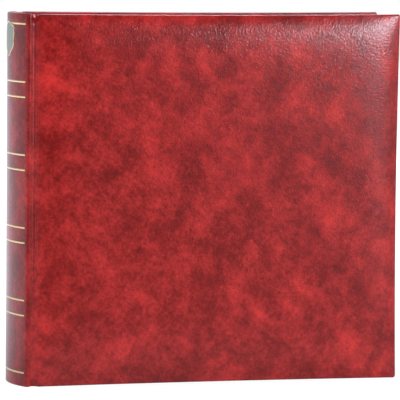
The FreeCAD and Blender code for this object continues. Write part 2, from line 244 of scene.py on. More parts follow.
def panel_swell():
    """Height of the pillow over each grid point: a sheet held at its edge and blown up by the foam."""
    points = []
    for up in row_shares:
        for across in column_shares:
            x, z = on_cover(across, up, PANEL_INSET)
            points.append((x, 0.0, z))
    sheet = new_piece("swelling_sheet", points, grid_faces(COLUMNS, ROWS), leatherette)
    held = sheet.vertex_groups.new(name="held")
    held.add([r * COLUMNS + c for r in range(ROWS) for c in range(COLUMNS)
              if r in (0, ROWS - 1) or c in (0, COLUMNS - 1)], 1.0, "REPLACE")
    cloth = sheet.modifiers.new("cloth", "CLOTH")
    cloth.settings.vertex_group_mass = "held"
    cloth.settings.use_pressure = True
    cloth.settings.uniform_pressure_force = FOAM_PRESSURE
    cloth.settings.effector_weights.gravity = 0.0
    scene = bpy.context.scene
    for step in range(1, SWELL_FRAMES + 1):
        scene.frame_set(step)
    swollen = sheet.evaluated_get(bpy.context.evaluated_depsgraph_get())
    heights = [abs(vertex.co.y) / MM for vertex in swollen.data.vertices]
    scene.frame_set(1)
    bpy.data.objects.remove(sheet)
    roll_column = min(range(COLUMNS), key=lambda c: abs(panel_columns[c] - ROLL))
    reference = heights[(ROWS // 2) * COLUMNS + roll_column]
    return [CROWN * math.tanh(SWELL_FULLNESS * height / reference) for height in heights]


swell = panel_swell()


def padded_cover(name, outward):
    """Leatherette of one cover: the swollen panel, its edges and its turn-ins, on the outward side of Y."""
    vertices = []
    for r, up in enumerate(row_shares):
        for c, across in enumerate(column_shares):
            x, z = on_cover(across, up, PANEL_INSET)
            vertices.append((x, outward * (COVER_INSIDE + COVER_EDGE + swell[r * COLUMNS + c]), z))
    faces = grid_faces(COLUMNS, ROWS)
    rim = [(0, c) for c in range(COLUMNS - 1)]
    rim += [(r, COLUMNS - 1) for r in range(ROWS - 1)]
    rim += [(ROWS - 1, c) for c in range(COLUMNS - 1, 0, -1)]
    rim += [(r, 0) for r in range(ROWS - 1, 0, -1)]
    loop = [r * COLUMNS + c for r, c in rim]
    for inset, height in TURN_IN:
        start = len(vertices)
        for r, c in rim:
            x, z = on_cover(column_shares[c], row_shares[r], inset)
            vertices.append((x, outward * (COVER_INSIDE + height), z))
        ring = list(range(start, start + len(rim)))
        for index in range(len(rim)):
            after = (index + 1) % len(rim)
            faces.append((loop[after], loop[index], ring[index], ring[after]))
        loop = ring
    if outward > 0:
        faces = [face[::-1] for face in faces]
    piece = new_piece(name, vertices, faces, leatherette)
    thicken(piece, LEATHERETTE)
    return piece


for side, outward in (("front", -1), ("back", 1)):
    cover = padded_cover(side + "_cover_leatherette", outward)
    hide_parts(side + "_skin", side + "_padding")
    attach(cover, side + "_cover")

# Spine
# A rounded foam strip on a flat board, under the same leatherette, which is turned in over the board's
# four edges. The lining covers the turn-ins on the inside.
SPINE_HALF = 34.0
SPINE_FLAT = -157.0
SPINE_INSIDE = -153.5
SPINE_BULGE = 8.5
SPINE_SHOULDER = 2.5
SPINE_EDGE = 0.8
SPINE_TURN_IN = 18.0
SPINE_ENDS = [(0.0, 1.1), (0.12, 0.62), (0.4, 0.24), (0.95, 0.0)]
SPINE_RADIUS = (SPINE_HALF ** 2 + SPINE_BULGE ** 2) / (2 * SPINE_BULGE)
SPINE_CENTRE = SPINE_FLAT - SPINE_BULGE + SPINE_RADIUS
# The turn-ins leave a window on the inside, this far to each side of the middle
WINDOW_HALF = 16.0
INSIDE_STEPS = (0.0, 8.0, WINDOW_HALF, 24.0, 30.0)
TURN_IN_SHARES = (0.3, 1.0)
EDGE_TURNS = 4
SHOULDER_TURNS = 6
ARC_STEPS = 13
SPINE_ROWS = 14
TOLERANCE = 0.01


def spine_profile():
    """Plan outline of the spine, anticlockwise from the inside, as (x, y) points."""
    half = [(SPINE_INSIDE, -y) for y in INSIDE_STEPS]
    for turn in range(EDGE_TURNS + 1):
        angle = math.radians(90 * turn / EDGE_TURNS)
        half.append((SPINE_INSIDE - SPINE_EDGE + SPINE_EDGE * math.cos(angle),
                     -SPINE_HALF + SPINE_EDGE - SPINE_EDGE * math.sin(angle)))
    # The shoulder's arc touches the spine's side and, from within, its outer arc
    middle_y = SPINE_HALF - SPINE_SHOULDER
    reach = math.sqrt((SPINE_RADIUS - SPINE_SHOULDER) ** 2 - middle_y ** 2)
    middle_x = SPINE_CENTRE - reach
    last = math.atan2(middle_y, reach)
    for turn in range(SHOULDER_TURNS + 1):
        angle = (math.pi / 2 - last) * turn / SHOULDER_TURNS
        half.append((middle_x - SPINE_SHOULDER * math.sin(angle),
                     -middle_y - SPINE_SHOULDER * math.cos(angle)))
    for step in range(1, ARC_STEPS + 1):
        angle = last * (1 - step / ARC_STEPS)
        half.append((SPINE_CENTRE - SPINE_RADIUS * math.cos(angle), -SPINE_RADIUS * math.sin(angle)))
    return half + [(x, -y) for x, y in reversed(half[1:-1])]


def drawn_in(outline, inset):
    """The closed outline moved inwards by the inset, square to itself."""
    moved = []
    for index, (x, y) in enumerate(outline):
        before = Vector(outline[index - 1])
        after = Vector(outline[(index + 1) % len(outline)])
        along = (after - before).normalized()
        moved.append((x + along.y * inset, y - along.x * inset))
    return moved


def in_window(points):
    """Whether all the points lie on the inside, between the turn-ins."""
    return all(abs(x - SPINE_INSIDE) < TOLERANCE and abs(y) < WINDOW_HALF + TOLERANCE
               and SPINE_TURN_IN - TOLERANCE < z < COVER_HEIGHT - SPINE_TURN_IN + TOLERANCE
               for x, y, z in points)


outline = spine_profile()
COUNT = len(outline)
levels = list(SPINE_ENDS)
levels += [(SPINE_TURN_IN * share, 0.0) for share in TURN_IN_SHARES]
levels += [(SPINE_TURN_IN + (COVER_HEIGHT - 2 * SPINE_TURN_IN) * row / SPINE_ROWS, 0.0)
           for row in range(1, SPINE_ROWS)]
levels += [(COVER_HEIGHT - SPINE_TURN_IN * share, 0.0) for share in reversed(TURN_IN_SHARES)]
levels += [(COVER_HEIGHT - height, inset) for height, inset in reversed(SPINE_ENDS)]
vertices = []
for height, inset in levels:
    vertices += [(x, y, height) for x, y in drawn_in(outline, inset)]
faces = [tuple(range(COUNT)), tuple(reversed(range(len(vertices) - COUNT, len(vertices))))]
for level in range(len(levels) - 1):
    for index in range(COUNT):
        after = (index + 1) % COUNT
        corners = (level * COUNT + index, (level + 1) * COUNT + index,
                   (level + 1) * COUNT + after, level * COUNT + after)
        if not in_window([vertices[corner] for corner in corners]):
            faces.append(corners)
spine_cover = new_piece("spine_leatherette", vertices, faces, leatherette)
thicken(spine_cover, LEATHERETTE)
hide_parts("spine_skin", "spine_padding")
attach(spine_cover, "spine")

# Joints
# Between the spine and each cover the leatherette has no board under it.
# It is pressed down into a groove, where it bends when the cover opens; this strip is drawn fixed in its
# closed shape.
JOINT_PATH = [(-154.1, 33.1), (-153.6, 33.35), (-153.1, 33.1), (-152.4, 32.55), (-151.6, 32.25),
              (-150.9, 32.2), (-150.2, 32.25), (-149.4, 32.55), (-148.7, 33.1), (-148.2, 33.35),
              (-147.7, 33.1)]
JOINT_CLOTH = 0.6
JOINT_ENDS = (0.5, 309.5)
JOINT_ROWS = 32


def finished_mesh(piece):
    """Replaces a piece by the plain mesh that its modifiers make."""
    bpy.context.view_layer.update()
    made = bpy.data.meshes.new_from_object(piece.evaluated_get(bpy.context.evaluated_depsgraph_get()))
    body = bpy.data.objects.new(piece.name + "_made", made)
    bpy.context.scene.collection.objects.link(body)
    name = piece.name
    bpy.data.objects.remove(piece)
    body.name = name
    return body


for side, outward in (("front", -1), ("back", 1)):
    vertices = []
    for row in range(JOINT_ROWS + 1):
        z = JOINT_ENDS[0] + (JOINT_ENDS[1] - JOINT_ENDS[0]) * row / JOINT_ROWS
        vertices += [(x, outward * y, z) for x, y in JOINT_PATH]
    faces = grid_faces(len(JOINT_PATH), JOINT_ROWS + 1)
    if outward > 0:
        faces = [face[::-1] for face in faces]
    strip = new_piece(side + "_joint_leatherette", vertices, faces, leatherette)
    thicken(strip, JOINT_CLOTH)
    strip = finished_mesh(strip)
    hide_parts(side + "_joint")
    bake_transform(strip)

# Gold lines
# Ten hot-stamped foil lines cross the spine: a pair round each gap and one near each end.
# The foil is pressed flat on the leatherette and follows its rounding.
LINE_HALF_LENGTH = 31.6


def node_modifier(piece, name, sizes):
    """A Geometry Nodes modifier on the piece, with a new tree that has the named sizes as inputs."""
    tree = bpy.data.node_groups.new(name, "GeometryNodeTree")
    tree.interface.new_socket(name="Geometry", in_out="INPUT", socket_type="NodeSocketGeometry")
    tree.interface.new_socket(name="Geometry", in_out="OUTPUT", socket_type="NodeSocketGeometry")
    modifier = piece.modifiers.new(name, "NODES")
    sockets = {}
    for label, value in sizes.items():
        kind = "NodeSocketInt" if isinstance(value, int) else "NodeSocketFloat"
        sockets[label] = tree.interface.new_socket(name=label, in_out="INPUT", socket_type=kind)
    modifier.node_group = tree
    for label, value in sizes.items():
        modifier[sockets[label].identifier] = value
    return tree, add(tree, "NodeGroupInput").outputs


def close_tree(tree, geometry, material):
    """Ends a tree in real, painted geometry."""
    real = add(tree, "GeometryNodeRealizeInstances", {"Geometry": geometry})
    painted = add(tree, "GeometryNodeSetMaterial", {
        "Geometry": real.outputs["Geometry"], "Material": material})
    add(tree, "NodeGroupOutput", {"Geometry": painted.outputs["Geometry"]})


# Thin metallised foil: pale bright gold, deeper and a little duller where it is rubbed
foil, tree, surface, place = new_material("pale_gold_foil")
rub = add(tree, "ShaderNodeTexNoise", {
    "Vector": place, "Scale": feature(3), "Detail": 4.0, "Roughness": 0.7})
golds = add(tree, "ShaderNodeValToRGB", {"Fac": rub.outputs["Fac"]}, stops=[
    (0.25, "#f6c880"), (0.45, "#ffdda2"), (0.75, "#ffecc4")])
dulled = add(tree, "ShaderNodeMapRange", {"Value": rub.outputs["Fac"], "To Min": 0.1, "To Max": 0.2})
feed(tree, surface, {
    "Metallic": 0.8, "Base Color": golds.outputs["Color"], "Roughness": dulled.outputs["Result"]})

gold_lines = new_piece("spine_gold_lines", [], [], foil)
tree, sizes = node_modifier(gold_lines, "gold_lines", {
    "Line width": 1.6 * MM, "Foil thickness": 0.16 * MM, "Arc radius": SPINE_RADIUS * MM,
    "Half sweep": math.asin(LINE_HALF_LENGTH / SPINE_RADIUS), "First line": 11.7 * MM, "Panel": 47.9 * MM,
    "Panel step": 60.5 * MM, "Panels": 5})
start_angle = add(tree, "ShaderNodeMath", {0: math.pi, 1: sizes["Half sweep"]}, operation="SUBTRACT")
sweep = add(tree, "ShaderNodeMath", {0: sizes["Half sweep"], 1: 2.0}, operation="MULTIPLY")
bend = add(tree, "GeometryNodeCurveArc", {
    "Resolution": 40, "Radius": sizes["Arc radius"], "Start Angle": start_angle.outputs[0],
    "Sweep Angle": sweep.outputs[0]})
section = add(tree, "GeometryNodeCurvePrimitiveQuadrilateral", {
    "Width": sizes["Foil thickness"], "Height": sizes["Line width"]})
band = add(tree, "GeometryNodeCurveToMesh", {
    "Curve": bend.outputs["Curve"], "Profile Curve": section.outputs["Curve"], "Fill Caps": True})
rise = add(tree, "ShaderNodeCombineXYZ", {"Z": sizes["Panel step"]})
join = add(tree, "GeometryNodeJoinGeometry")
upper_start = add(tree, "ShaderNodeMath", {0: sizes["First line"], 1: sizes["Panel"]})
for start in (sizes["First line"], upper_start.outputs[0]):
    corner = add(tree, "ShaderNodeCombineXYZ", {"X": SPINE_CENTRE * MM, "Z": start})
    row = add(tree, "GeometryNodeMeshLine", {
        "Count": sizes["Panels"], "Start Location": corner.outputs[0], "Offset": rise.outputs[0]})
    tree.links.new(row.outputs["Mesh"], join.inputs["Geometry"])
lines = add(tree, "GeometryNodeInstanceOnPoints", {
    "Points": join.outputs["Geometry"], "Instance": band.outputs["Mesh"]})
close_tree(tree, lines.outputs["Instances"], foil)
gold_lines = finished_mesh(gold_lines)
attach(gold_lines, "spine")

# Spine plate
# A small plain shield of cast pewter with a gilt rim, bent to the rounding of the spine
# and glued on near its head.
PLATE_HALF_WIDTH = 15.0
PLATE_HALF_HEIGHT = 15.0
PLATE_HEIGHT = 288.5
PLATE_SPOKES = 72
PLATE_SHOULDERS = 5.0
PLATE_POINT = 2.0
PLATE_WAIST = 0.1
PLATE_WAIST_REACH = 0.4
# From the middle outwards: (share of the half sizes, height over the leatherette)
PLATE_MIDDLE = [(0.0, 0.34)]
PLATE_FIELD = [(0.2, 0.34), (0.4, 0.33), (0.6, 0.3), (0.76, 0.27), (0.88, 0.24), (0.925, 0.24)]
PLATE_RIM = [(0.935, 0.36), (0.955, 0.46), (0.978, 0.46), (0.992, 0.36), (1.0, 0.12), (1.0, -0.3)]

# Sand-cast pewter: soft grey with a green cast, brushed matt, with fine pits
pewter, tree, surface, place = new_material("cast_pewter")
pits = add(tree, "ShaderNodeTexNoise", {
    "Vector": place, "Scale": feature(1.2), "Detail": 5.0, "Roughness": 0.7})
greys = add(tree, "ShaderNodeValToRGB", {"Fac": pits.outputs["Fac"]}, stops=[
    (0.3, "#8b9088"), (0.5, "#a9aea4"), (0.7, "#bcc0b6")])
pitted = add(tree, "ShaderNodeBump", {"Height": pits.outputs["Fac"], "Distance": 0.06 * MM})
feed(tree, surface, {
    "Metallic": 0.75, "Roughness": 0.42, "Normal": pitted.outputs["Normal"],
    "Base Color": greys.outputs["Color"]})


def on_shield(spoke):
    """Point of the shield's outline as shares of its half sizes: broad above, waisted, pointed below."""
    turn = 2 * math.pi * (spoke + 0.5) / PLATE_SPOKES
    up = math.sin(turn)
    narrowing = abs(up) ** (PLATE_SHOULDERS if up > 0 else PLATE_POINT)
    waist = PLATE_WAIST * max(0.0, 1 - (up / PLATE_WAIST_REACH) ** 2) ** 2
    return math.copysign(1 - narrowing - waist, math.cos(turn)), up


vertices = []
for share, rise in PLATE_MIDDLE + PLATE_FIELD + PLATE_RIM:
    for spoke in range(PLATE_SPOKES if share else 1):
        across, up = on_shield(spoke)
        angle = share * PLATE_HALF_WIDTH * across / SPINE_RADIUS
        reach = SPINE_RADIUS + rise
        vertices.append((SPINE_CENTRE - reach * math.cos(angle), -reach * math.sin(angle),
                         PLATE_HEIGHT + share * PLATE_HALF_HEIGHT * up))
rings = len(PLATE_FIELD) + len(PLATE_RIM)
faces = []
for spoke in range(PLATE_SPOKES):
    after = (spoke + 1) % PLATE_SPOKES
    faces.append((0, 1 + spoke, 1 + after))
    for ring in range(rings - 1):
        inner = 1 + ring * PLATE_SPOKES
        outer = inner + PLATE_SPOKES
        faces.append((inner + spoke, outer + spoke, outer + after, inner + after))
faces.append(tuple(reversed(range(1 + (rings - 1) * PLATE_SPOKES, 1 + rings * PLATE_SPOKES))))
plate = new_piece("spine_plate", vertices, faces, pewter)
plate.data.materials.append(foil)
first_of_rim = 1 + len(PLATE_FIELD) * PLATE_SPOKES
for polygon in plate.data.polygons:
    polygon.material_index = int(max(polygon.vertices) >= first_of_rim)
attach(plate, "spine")

# Linings
# Cream lining paper covers the turn-ins inside the covers and the spine.
# It is pasted down last, and leaves a narrow border of leatherette.
# Uncoated paper: warm and matt, with a soft cloud of pulp
lining_paper, tree, surface, place = new_material("cream_lining_paper")
pulp = add(tree, "ShaderNodeTexNoise", {
    "Vector": place, "Scale": feature(1.6), "Detail": 5.0, "Roughness": 0.6})
creams = add(tree, "ShaderNodeValToRGB", {"Fac": pulp.outputs["Fac"]}, stops=[
    (0.3, "#d9cdb4"), (0.5, "#e6dcc6"), (0.7, "#efe7d5")])
tooth = add(tree, "ShaderNodeBump", {"Height": pulp.outputs["Fac"], "Distance": 0.05 * MM})
feed(tree, surface, {
    "Roughness": 0.75, "Base Color": creams.outputs["Color"], "Normal": tooth.outputs["Normal"]})
dress(["front_lining", "back_lining", "spine_lining"], lining_paper)

# Ring mechanism
# A nickel-plated steel channel riveted to the spine holds two spring blades. The half rings stand
# on the blades, and the two levers, turning on their pins, rock the blades to part the rings.
WIRE_FOOT = 35.0
RING_PITCH = 80.0
RINGS = 4
# Corners of a half ring's wire, from its foot on the blade to its tip at the split: (x, y)
RING_POINTS = [(-150.9, -5.5), (-142.5, -5.5), (-134.5, -21.5), (-106.5, -21.5), (-106.5, -0.05)]

# Bright plating: a warm silver mirror, with duller smears about 5 mm across
nickel, tree, surface, place = new_material("nickel_plated_steel")
polish = add(tree, "ShaderNodeTexNoise", {"Vector": place, "Scale": feature(5), "Detail": 4.0})
silvers = add(tree, "ShaderNodeValToRGB", {"Fac": polish.outputs["Fac"]}, stops=[
    (0.3, "#c2bfb8"), (0.7, "#d8d5ce")])
smeared = add(tree, "ShaderNodeMapRange", {
    "Value": polish.outputs["Fac"], "To Min": 0.12, "To Max": 0.26})
feed(tree, surface, {
    "Metallic": 1.0, "Base Color": silvers.outputs["Color"], "Roughness": smeared.outputs["Result"]})
dress(["ring_housing", "upper_lever", "lower_lever", "lever_pins", "rivets"], nickel)

# Rolled strip: bluish grey and satin, with fine lines along its length
spring_steel, tree, surface, place = new_material("rolled_spring_steel")
rolled = add(tree, "ShaderNodeMapping", {"Vector": place, "Scale": (1.0, 1.0, 0.05)})
drawn = add(tree, "ShaderNodeTexNoise", {
    "Vector": rolled.outputs["Vector"], "Scale": feature(0.8), "Detail": 3.0})
greys = add(tree, "ShaderNodeValToRGB", {"Fac": drawn.outputs["Fac"]}, stops=[
    (0.3, "#85868a"), (0.7, "#a5a6a8")])
feed(tree, surface, {"Metallic": 1.0, "Base Color": greys.outputs["Color"], "Roughness": 0.38})
dress(["front_blade", "rear_blade", "rivet_spacers"], spring_steel)

for side, front in (("front", 1), ("rear", -1)):
    line = bpy.data.curves.new(side + "_wire", "CURVE")
    line.dimensions = "3D"
    path = line.splines.new("POLY")
    path.points.add(len(RING_POINTS) - 1)
    for point, (x, y) in zip(path.points, RING_POINTS):
        point.co = (x * MM, front * y * MM, WIRE_FOOT * MM, 1.0)
    rings = bpy.data.objects.new(side + "_ring_wires", line)
    bpy.context.scene.collection.objects.link(rings)
    tree, sizes = node_modifier(rings, "ring_wires", {
        "Wire radius": 1.5 * MM, "Ring pitch": RING_PITCH * MM, "Rings": RINGS,
        "Bend start": 4.0 * MM, "Bend step": 2.0 * MM})
    order = add(tree, "GeometryNodeInputIndex")
    step = add(tree, "ShaderNodeMath", {
        0: order.outputs[0], 1: sizes["Bend step"], 2: sizes["Bend start"]}, operation="MULTIPLY_ADD")
    bent = add(tree, "GeometryNodeFilletCurve", {
        "Curve": sizes["Geometry"], "Count": 8, "Radius": step.outputs[0], "Limit Radius": True}, mode="POLY")
    section = add(tree, "GeometryNodeCurvePrimitiveCircle", {
        "Resolution": 16, "Radius": sizes["Wire radius"]})
    wire = add(tree, "GeometryNodeCurveToMesh", {
        "Curve": bent.outputs["Curve"], "Profile Curve": section.outputs["Curve"], "Fill Caps": True})
    rise = add(tree, "ShaderNodeCombineXYZ", {"Z": sizes["Ring pitch"]})
    row = add(tree, "GeometryNodeMeshLine", {"Count": sizes["Rings"], "Offset": rise.outputs[0]})
    stood = add(tree, "GeometryNodeInstanceOnPoints", {
        "Points": row.outputs["Mesh"], "Instance": wire.outputs["Mesh"]})
    close_tree(tree, stood.outputs["Instances"], nickel)
    rings = finished_mesh(rings)
    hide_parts(side + "_half_rings")
    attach(rings, side + "_rings")

# Leaves
# Ivory album card, printed with a thin frame and pale squares for placing the stamps.
# The binding edge of each leaf is a separate strip with four round punched holes, on the rings.
LEAF_FOOT = 7.0
LEAF_HEIGHT = 296.0
PAGE_LEFT = -93.0
PAGE_WIDTH = 248.5
TAB_LEFT = -115.5
TAB_WIDTH = 17.8
LEAVES = 20
LEAF_PITCH = 1.45
SHEET = 0.4
HOLE_SHIFT = 0.1
WELD = 0.01
FRAME_MARGIN = 9.0
FRAME_HALF_LINE = 0.35
SQUARES_INSET = 4.0
SQUARE = 4
SQUARES_INK = 0.3

# Smooth uncoated card: matt ivory, faintly clouded, with thin grey printing
card, tree, surface, place = new_material("ivory_album_card")
pulp = add(tree, "ShaderNodeTexNoise", {
    "Vector": place, "Scale": feature(2.5), "Detail": 5.0, "Roughness": 0.6})
ivories = add(tree, "ShaderNodeValToRGB", {"Fac": pulp.outputs["Fac"]}, stops=[
    (0.3, "#e4dcc8"), (0.5, "#ece5d3"), (0.7, "#f2ecdd")])
# Distance outside the printed frame
centre = add(tree, "ShaderNodeVectorMath", {0: place, 1: (
    (PAGE_LEFT + PAGE_WIDTH / 2) * MM, 0.0, (LEAF_FOOT + LEAF_HEIGHT / 2) * MM)}, operation="SUBTRACT")
apart = add(tree, "ShaderNodeVectorMath", {0: centre.outputs[0]}, operation="ABSOLUTE")
sides = add(tree, "ShaderNodeSeparateXYZ", {"Vector": apart.outputs[0]})
over_side = add(tree, "ShaderNodeMath", {
    0: sides.outputs["X"], 1: (PAGE_WIDTH / 2 - FRAME_MARGIN) * MM}, operation="SUBTRACT")
over_end = add(tree, "ShaderNodeMath", {
    0: sides.outputs["Z"], 1: (LEAF_HEIGHT / 2 - FRAME_MARGIN) * MM}, operation="SUBTRACT")
outside = add(tree, "ShaderNodeMath", {
    0: over_side.outputs[0], 1: over_end.outputs[0]}, operation="MAXIMUM")
rule = add(tree, "ShaderNodeMath", {
    0: outside.outputs[0], 1: 0.0, 2: FRAME_HALF_LINE * MM}, operation="COMPARE")
within = add(tree, "ShaderNodeMath", {
    0: outside.outputs[0], 1: -SQUARES_INSET * MM}, operation="LESS_THAN")
# Squares of 4 mm, drawn with lines of a quarter of a millimetre
places = add(tree, "ShaderNodeSeparateXYZ", {"Vector": place})
flat = add(tree, "ShaderNodeCombineXYZ", {"X": places.outputs["X"], "Y": places.outputs["Z"]})
squares = add(tree, "ShaderNodeTexBrick", {
    "Vector": flat.outputs[0], "Scale": feature(SQUARE), "Mortar Size": 0.03, "Mortar Smooth": 0.0,
    "Brick Width": 1.0, "Row Height": 1.0}, offset=0.0)
ruled = add(tree, "ShaderNodeMath", {
    0: squares.outputs["Fac"], 1: within.outputs[0]}, operation="MULTIPLY")
ink = add(tree, "ShaderNodeMath", {
    0: ruled.outputs[0], 1: SQUARES_INK, 2: rule.outputs[0]}, operation="MULTIPLY_ADD")
printed = add(tree, "ShaderNodeMix", {
    "Factor": ink.outputs[0], "A": ivories.outputs["Color"], "B": linear("#7d7a74")}, data_type="RGBA")
tooth = add(tree, "ShaderNodeBump", {"Height": pulp.outputs["Fac"], "Distance": 0.04 * MM})
feed(tree, surface, {
    "Roughness": 0.8, "Base Color": printed.outputs["Result"], "Normal": tooth.outputs["Normal"]})
dress([name for name in nodes if name.startswith("leaves_")], card)

tabs = new_piece("leaf_binding_edges", [], [], card)
tree, sizes = node_modifier(tabs, "binding_edges", {
    "Tab width": TAB_WIDTH * MM, "Leaf height": LEAF_HEIGHT * MM, "Sheet": SHEET * MM,
    "Hole radius": 3.0 * MM, "Hole pitch": RING_PITCH * MM, "Holes": RINGS,
    "Leaf pitch": LEAF_PITCH * MM, "Leaves": LEAVES})
edge = add(tree, "GeometryNodeCurvePrimitiveQuadrilateral", {
    "Width": sizes["Tab width"], "Height": sizes["Leaf height"]})
punch = add(tree, "GeometryNodeCurvePrimitiveCircle", {"Resolution": 24, "Radius": sizes["Hole radius"]})
lowest = add(tree, "ShaderNodeMath", {0: sizes["Hole pitch"], 1: (1 - RINGS) / 2}, operation="MULTIPLY")
first_hole = add(tree, "ShaderNodeCombineXYZ", {"X": HOLE_SHIFT * MM, "Y": lowest.outputs[0]})
hole_step = add(tree, "ShaderNodeCombineXYZ", {"Y": sizes["Hole pitch"]})
column = add(tree, "GeometryNodeMeshLine", {
    "Count": sizes["Holes"], "Start Location": first_hole.outputs[0], "Offset": hole_step.outputs[0]})
punched = add(tree, "GeometryNodeInstanceOnPoints", {
    "Points": column.outputs["Mesh"], "Instance": punch.outputs["Curve"]})
holes = add(tree, "GeometryNodeRealizeInstances", {"Geometry": punched.outputs["Instances"]})
outline = add(tree, "GeometryNodeJoinGeometry", {"Geometry": edge.outputs["Curve"]})
tree.links.new(holes.outputs["Geometry"], outline.inputs["Geometry"])
sheet = add(tree, "GeometryNodeFillCurve", {"Curve": outline.outputs["Geometry"]})
raised = add(tree, "GeometryNodeExtrudeMesh", {
    "Mesh": sheet.outputs["Mesh"], "Offset Scale": sizes["Sheet"], "Individual": False})
under = add(tree, "GeometryNodeFlipFaces", {"Mesh": sheet.outputs["Mesh"]})
shell = add(tree, "GeometryNodeJoinGeometry", {"Geometry": raised.outputs["Mesh"]})
tree.links.new(under.outputs["Mesh"], shell.inputs["Geometry"])
closed = add(tree, "GeometryNodeMergeByDistance", {
    "Geometry": shell.outputs["Geometry"], "Distance": WELD * MM})
stood = add(tree, "GeometryNodeTransform", {
    "Geometry": closed.outputs["Geometry"], "Rotation": (math.pi / 2, 0.0, 0.0)})
leaf_step = add(tree, "ShaderNodeCombineXYZ", {"Y": sizes["Leaf pitch"]})
stack = add(tree, "GeometryNodeMeshLine", {
    "Count": sizes["Leaves"], "Offset": leaf_step.outputs[0], "Start Location": (
        (TAB_LEFT + TAB_WIDTH / 2) * MM, ((1 - LEAVES) / 2 * LEAF_PITCH + SHEET / 2) * MM,
        (LEAF_FOOT + LEAF_HEIGHT / 2) * MM)})
bound = add(tree, "GeometryNodeInstanceOnPoints", {
    "Points": stack.outputs["Mesh"], "Instance": stood.outputs["Geometry"]})
close_tree(tree, bound.outputs["Instances"], card)
tabs = finished_mesh(tabs)
tabs.data.polygons.foreach_set("use_smooth", [False] * len(tabs.data.polygons))
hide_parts("leaf_tabs")
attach(tabs, "spine")

# Linen hinges
# A strip of starched linen joins each binding edge to its page, so that the leaf folds there and
# lies flat; here the strips are drawn fixed. The leaves turn in groups of two, creased towards the
# cover that they turn with.
GROUPS = 10
GROUP_PITCH = 2 * LEAF_PITCH
LINEN_CLOTH = 0.2
LINEN_COLUMNS = 13
LINEN_ROWS = 9
LINEN_LEFT = TAB_LEFT + TAB_WIDTH
LINEN_FOLD = -94.5
INNER_CREASE = 0.3
OUTER_CREASE = 0.65

# Plain weave: matt and off-white, with paler and darker threads 0.6 mm apart
linen, tree, surface, place = new_material("starched_linen")
weave = add(tree, "ShaderNodeTexChecker", {"Vector": place, "Scale": feature(0.6)})
threads = add(tree, "ShaderNodeValToRGB", {"Fac": weave.outputs["Fac"]}, stops=[
    (0.0, "#cfc5ad"), (1.0, "#e2dac6")])
woven = add(tree, "ShaderNodeBump", {"Height": weave.outputs["Fac"], "Distance": 0.08 * MM})
feed(tree, surface, {
    "Roughness": 0.9, "Base Color": threads.outputs["Color"], "Normal": woven.outputs["Normal"]})
for group in range(1, GROUPS + 1):
    middle = (group - (GROUPS + 1) / 2) * GROUP_PITCH
    side = -1 if group <= GROUPS / 2 else 1
    vertices = []
    for leaf in (-1, 1):
        at_edges = middle + leaf * LEAF_PITCH / 2
        at_fold = middle + side * (OUTER_CREASE if leaf == side else INNER_CREASE)
        for row in range(LINEN_ROWS):
            z = LEAF_FOOT + LEAF_HEIGHT * row / (LINEN_ROWS - 1)
            for column in range(LINEN_COLUMNS):
                x = LINEN_LEFT + (PAGE_LEFT - LINEN_LEFT) * column / (LINEN_COLUMNS - 1)
                edge = LINEN_LEFT if x < LINEN_FOLD else PAGE_LEFT
                bent = (1 + math.cos(math.pi * (x - LINEN_FOLD) / (edge - LINEN_FOLD))) / 2
                vertices.append((x, at_edges + (at_fold - at_edges) * bent, z))
    one = grid_faces(LINEN_COLUMNS, LINEN_ROWS)
    start = LINEN_COLUMNS * LINEN_ROWS
    strips = new_piece("linen_strips_%02d" % group, vertices,
                       one + [tuple(corner + start for corner in face) for face in one], linen)
    thicken(strips, LINEN_CLOTH, offset=0.0)
    strips = finished_mesh(strips)
    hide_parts("linen_hinges_%02d" % group)
    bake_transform(strips)

# Stamp mounts
# Black card with a clear film welded along its foot, open at the top to take a stamp,
# gummed on the page. Deep black under a sharp gloss, a little dusty.
mount_film, tree, surface, place = new_material("clear_film_on_black_card")
dust = add(tree, "ShaderNodeTexNoise", {"Vector": place, "Scale": feature(9), "Detail": 5.0})
blacks = add(tree, "ShaderNodeValToRGB", {"Fac": dust.outputs["Fac"]}, stops=[
    (0.3, "#0d0d0f"), (0.7, "#1a1a1d")])
feed(tree, surface, {
    "IOR": 1.5, "Roughness": 0.3, "Coat Weight": 1.0, "Coat Roughness": 0.08,
    "Base Color": blacks.outputs["Color"]})
dress([name for name in nodes if name.startswith("stamp_mounts_")], mount_film)

# Floor and light
# A plain white sweep between white studio walls. A small key box on the right makes the highlight,
# fill, rear and top boxes light every side, and a strip above draws a bright line along the head.
COOL_WHITE = "#ecf0fb"
FLOOR_HALF = 6000
TO_THE_RIGHT = (0.94, 0.34, 0.0)
TO_THE_REAR_LEFT = (-0.8, 0.6, 0.0)

# Matt white paint, which the camera sees bleached to the white of the walls, with a painted glow that only
# reflections see
floor_paint, tree, surface, place = new_material("white_studio_floor")
feed(tree, surface, {"Base Color": linear("#f2f2f2"), "Roughness": 0.8})
ray = add(tree, "ShaderNodeLightPath")
mirrored = add(tree, "ShaderNodeMath", {
    0: ray.outputs["Is Glossy Ray"], 1: ray.outputs["Is Transmission Ray"]})
seen = add(tree, "ShaderNodeMath", {
    0: mirrored.outputs[0], 1: ray.outputs["Is Camera Ray"]}, use_clamp=True)
